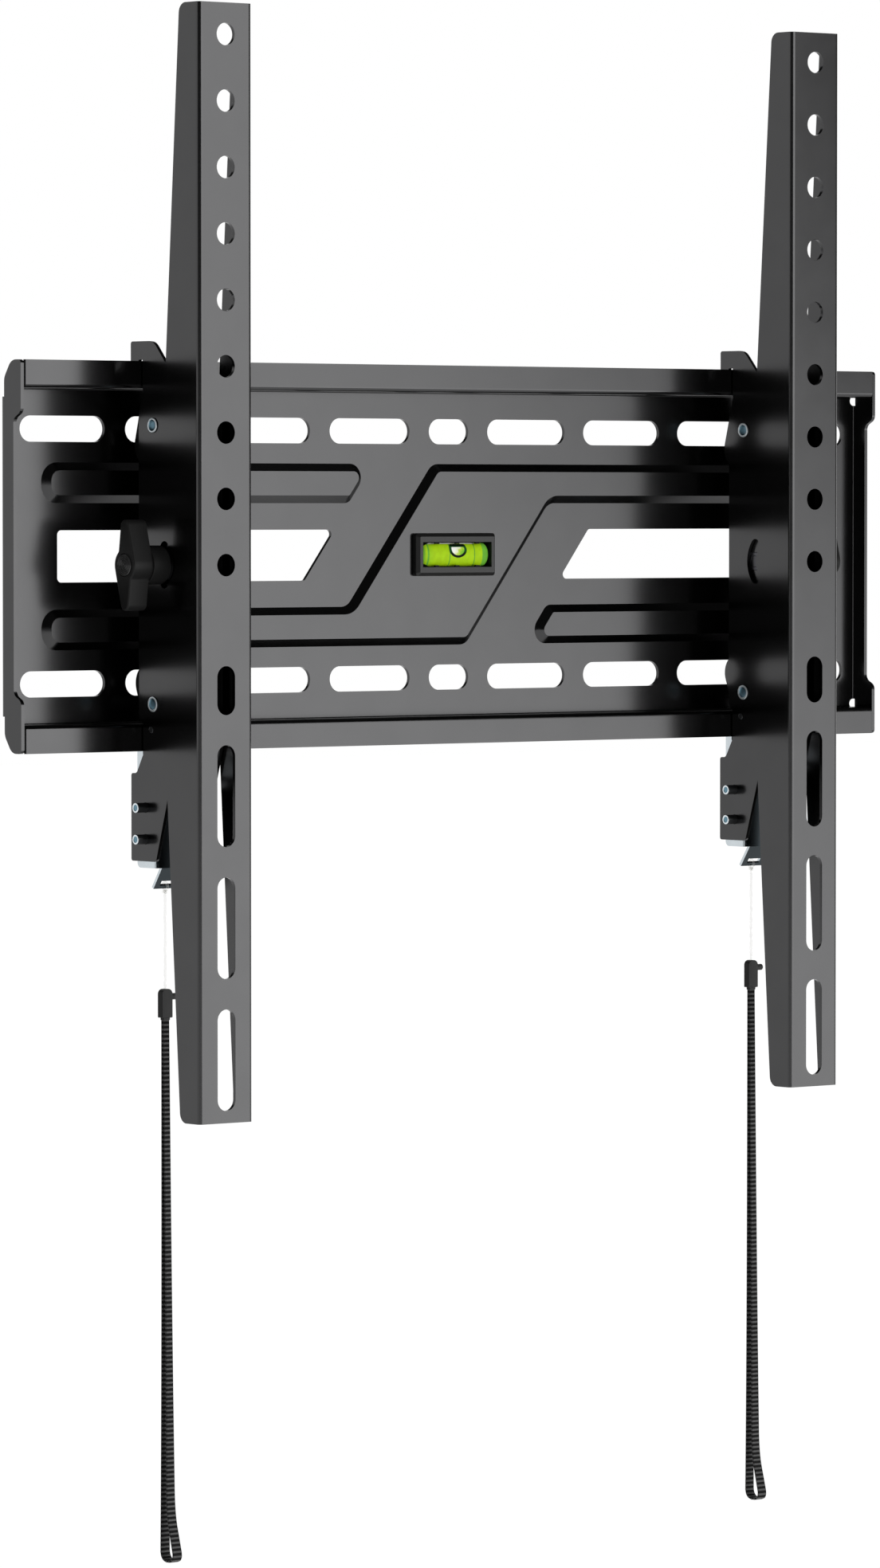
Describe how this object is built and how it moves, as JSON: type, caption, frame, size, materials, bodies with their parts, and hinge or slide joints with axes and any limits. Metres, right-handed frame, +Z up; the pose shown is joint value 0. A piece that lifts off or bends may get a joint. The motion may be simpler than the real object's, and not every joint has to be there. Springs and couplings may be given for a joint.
{
  "type": "tilting tv wall mount",
  "caption": "Low wall plate with two hook-on upright arms that slide sideways and tilt, clamped by side knobs and released by pull straps.",
  "frame": {"origin": "centre of the wall plate's back face, on the wall", "axes": "+X to the right along the plate, +Y into the wall, +Z up; the screen side is -Y"},
  "size_m": [0.436, 0.051, 0.5935],
  "materials": {
    "black_powder_coat": "satin black powder coat on folded sheet steel",
    "level_black": "black moulded plastic",
    "vial_green": "clear vial of yellow-green liquid",
    "knob_black": "black moulded plastic with a soft sheen",
    "stud_steel": "bright zinc-plated steel",
    "nut_steel": "dark plated steel",
    "zinc_plate": "zinc-plated pressed steel",
    "zinc_pin": "zinc-plated tubular rivet",
    "spring_steel": "spring steel wire",
    "pale_cord": "thin pale braided cord",
    "ferrule_black": "black moulded plastic",
    "strap_black": "black ribbed webbing"
  },
  "bodies": {
    "wall_plate": {"wall_plate": "black_powder_coat", "level_housing": "level_black", "level_vial": "vial_green"},
    "left_bracket": {"left_bracket": "black_powder_coat", "left_upper_latch_pin": "zinc_pin", "left_lower_latch_pin": "zinc_pin", "left_spring_anchor": "zinc_pin", "left_latch_spring": "spring_steel", "left_clamp_nut": "nut_steel"},
    "left_arm": {"left_arm": "black_powder_coat", "left_upper_arm_pin": "zinc_pin", "left_lower_arm_pin": "zinc_pin"},
    "left_knob": {"left_knob": "knob_black", "left_knob_stud": "stud_steel", "left_knob_washer": "stud_steel"},
    "left_latch": {"left_latch": "zinc_plate", "left_pull_string": "pale_cord", "left_ferrule": "ferrule_black", "left_ferrule_peg": "ferrule_black", "left_strap": "strap_black"},
    "right_bracket": {"right_bracket": "black_powder_coat", "right_upper_latch_pin": "zinc_pin", "right_lower_latch_pin": "zinc_pin", "right_spring_anchor": "zinc_pin", "right_latch_spring": "spring_steel", "right_clamp_nut": "nut_steel"},
    "right_arm": {"right_arm": "black_powder_coat", "right_upper_arm_pin": "zinc_pin", "right_lower_arm_pin": "zinc_pin"},
    "right_knob": {"right_knob": "knob_black", "right_knob_stud": "stud_steel", "right_knob_washer": "stud_steel"},
    "right_latch": {"right_latch": "zinc_plate", "right_pull_string": "pale_cord", "right_ferrule": "ferrule_black", "right_ferrule_peg": "ferrule_black", "right_strap": "strap_black"}
  },
  "joints": [
    {"name": "left_bracket_slide", "type": "slide", "parent": "wall_plate", "child": "left_bracket", "axis": [1, 0, 0], "range_m": [-0.05, 0.1]},
    {"name": "left_arm_tilt", "type": "hinge", "parent": "left_bracket", "child": "left_arm", "pos_m": [-0.15, -0.0375, -0.0032], "axis": [1, 0, 0], "range_deg": [-8, 8]},
    {"name": "left_knob_turn", "type": "hinge", "parent": "left_bracket", "child": "left_knob", "pos_m": [-0.15, -0.0273, -0.0032], "axis": [1, 0, 0], "continuous": true},
    {"name": "left_latch_pull", "type": "slide", "parent": "left_bracket", "child": "left_latch", "axis": [0, 0, 1], "range_m": [-0.008, 0], "stiffness_N_per_m": 400, "springref_m": 0.012, "deforming": ["left_latch_spring"]},
    {"name": "right_bracket_slide", "type": "slide", "parent": "wall_plate", "child": "right_bracket", "axis": [1, 0, 0], "range_m": [-0.1, 0.05]},
    {"name": "right_arm_tilt", "type": "hinge", "parent": "right_bracket", "child": "right_arm", "pos_m": [0.15, -0.0375, -0.0032], "axis": [1, 0, 0], "range_deg": [-8, 8]},
    {"name": "right_knob_turn", "type": "hinge", "parent": "right_bracket", "child": "right_knob", "pos_m": [0.15, -0.0273, -0.0032], "axis": [1, 0, 0], "continuous": true},
    {"name": "right_latch_pull", "type": "slide", "parent": "right_bracket", "child": "right_latch", "axis": [0, 0, 1], "range_m": [-0.008, 0], "stiffness_N_per_m": 400, "springref_m": 0.012, "deforming": ["right_latch_spring"]}
  ]
}
